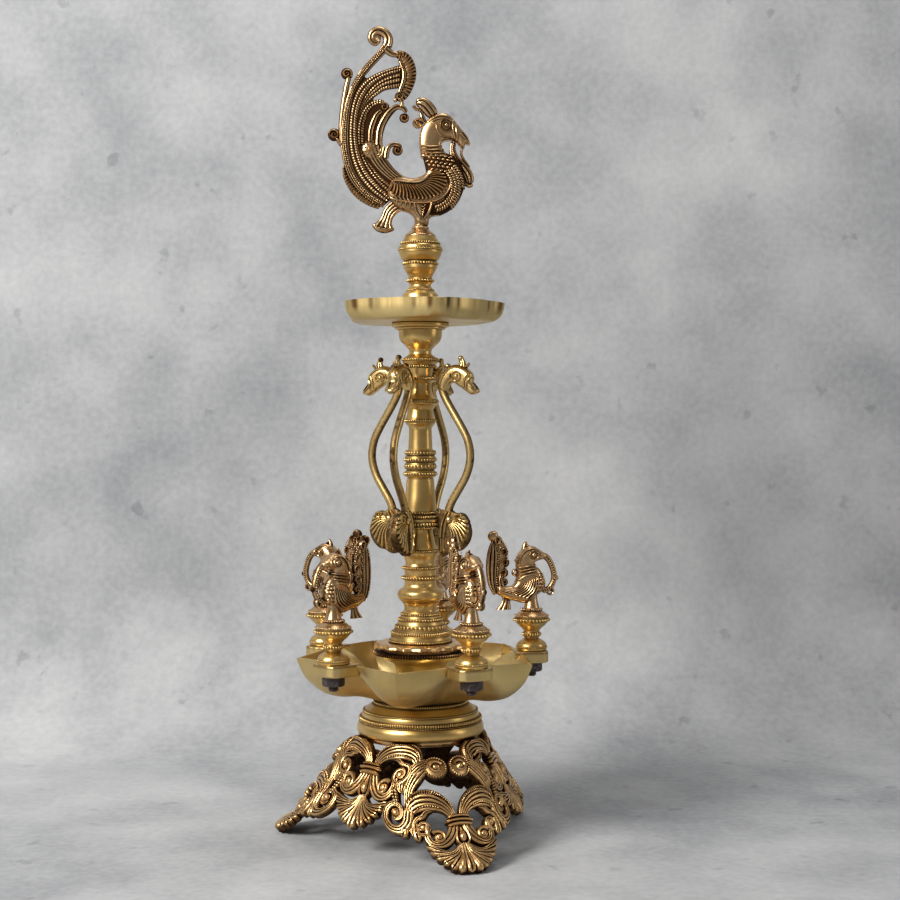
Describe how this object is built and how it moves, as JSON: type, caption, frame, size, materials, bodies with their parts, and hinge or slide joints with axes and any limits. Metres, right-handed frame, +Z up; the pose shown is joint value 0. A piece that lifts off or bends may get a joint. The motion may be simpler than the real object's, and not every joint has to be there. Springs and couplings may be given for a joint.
{
  "type": "standing oil lamp",
  "caption": "Standing brass oil lamp: openwork tripod base, lobed oil bowl ringed with small birds, turned column with swan-headed arms, small oil plate and peacock finial",
  "frame": {"origin": "on the lamp's axis, on the surface that the three feet stand on", "axes": "+Z up along the column, +X to the peacock's beak, -Y to the front"},
  "size_m": [0.2312, 0.2263, 0.648],
  "materials": {
    "antique_brass": "cast and antiqued: dark in the recesses, worn bright on the ridges",
    "turned_brass": "turned and polished",
    "satin_brass": "satin",
    "black_steel": "blackened"
  },
  "bodies": {
    "stand": {"tripod_base": "antique_brass", "pedestal_dome": "turned_brass", "lower_bowl": "satin_brass", "bowl_hub": "satin_brass", "serrated_washer": "antique_brass", "scalloped_flange": "turned_brass", "column_foot": "turned_brass", "lower_column": "turned_brass", "arm_collar": "turned_brass", "middle_column": "turned_brass", "upper_column": "turned_brass", "tulip_cup": "turned_brass", "plate_flange": "turned_brass", "finial_vase": "turned_brass", "swan_arm_1": "antique_brass", "swan_arm_2": "antique_brass", "swan_arm_3": "antique_brass", "swan_arm_4": "antique_brass", "bird_pedestal_1": "turned_brass", "bird_pedestal_2": "turned_brass", "bird_pedestal_3": "turned_brass", "bird_pedestal_4": "turned_brass", "bird_pedestal_5": "turned_brass", "bird_stud_1": "black_steel", "bird_stud_2": "black_steel", "bird_stud_3": "black_steel", "bird_stud_4": "black_steel", "bird_stud_5": "black_steel", "hex_nut_1": "black_steel", "hex_nut_2": "black_steel", "hex_nut_3": "black_steel", "hex_nut_4": "black_steel", "hex_nut_5": "black_steel", "centre_rod": "black_steel", "base_washer": "black_steel", "base_nut": "black_steel"},
    "bird_1": {"bird_figure_1": "antique_brass"},
    "bird_2": {"bird_figure_2": "antique_brass"},
    "bird_3": {"bird_figure_3": "antique_brass"},
    "bird_4": {"bird_figure_4": "antique_brass"},
    "bird_5": {"bird_figure_5": "antique_brass"},
    "oil_plate": {"upper_oil_plate": "satin_brass"},
    "finial": {"peacock_finial": "antique_brass"}
  },
  "joints": [
    {"name": "bird_turn_1", "type": "hinge", "parent": "stand", "child": "bird_1", "pos_m": [0.03829, -0.08211, 0.175], "axis": [0, 0, 1], "continuous": true},
    {"name": "bird_turn_2", "type": "hinge", "parent": "stand", "child": "bird_2", "pos_m": [0.08993, 0.01104, 0.175], "axis": [0, 0, 1], "continuous": true},
    {"name": "bird_turn_3", "type": "hinge", "parent": "stand", "child": "bird_3", "pos_m": [0.01729, 0.08894, 0.175], "axis": [0, 0, 1], "continuous": true},
    {"name": "bird_turn_4", "type": "hinge", "parent": "stand", "child": "bird_4", "pos_m": [-0.07924, 0.04392, 0.175], "axis": [0, 0, 1], "continuous": true},
    {"name": "bird_turn_5", "type": "hinge", "parent": "stand", "child": "bird_5", "pos_m": [-0.06626, -0.06179, 0.175], "axis": [0, 0, 1], "continuous": true},
    {"name": "oil_plate_turn", "type": "hinge", "parent": "stand", "child": "oil_plate", "pos_m": [0, 0, 0.4115], "axis": [0, 0, 1], "continuous": true},
    {"name": "finial_turn", "type": "hinge", "parent": "stand", "child": "finial", "pos_m": [0, 0, 0.48], "axis": [0, 0, 1], "continuous": true}
  ]
}
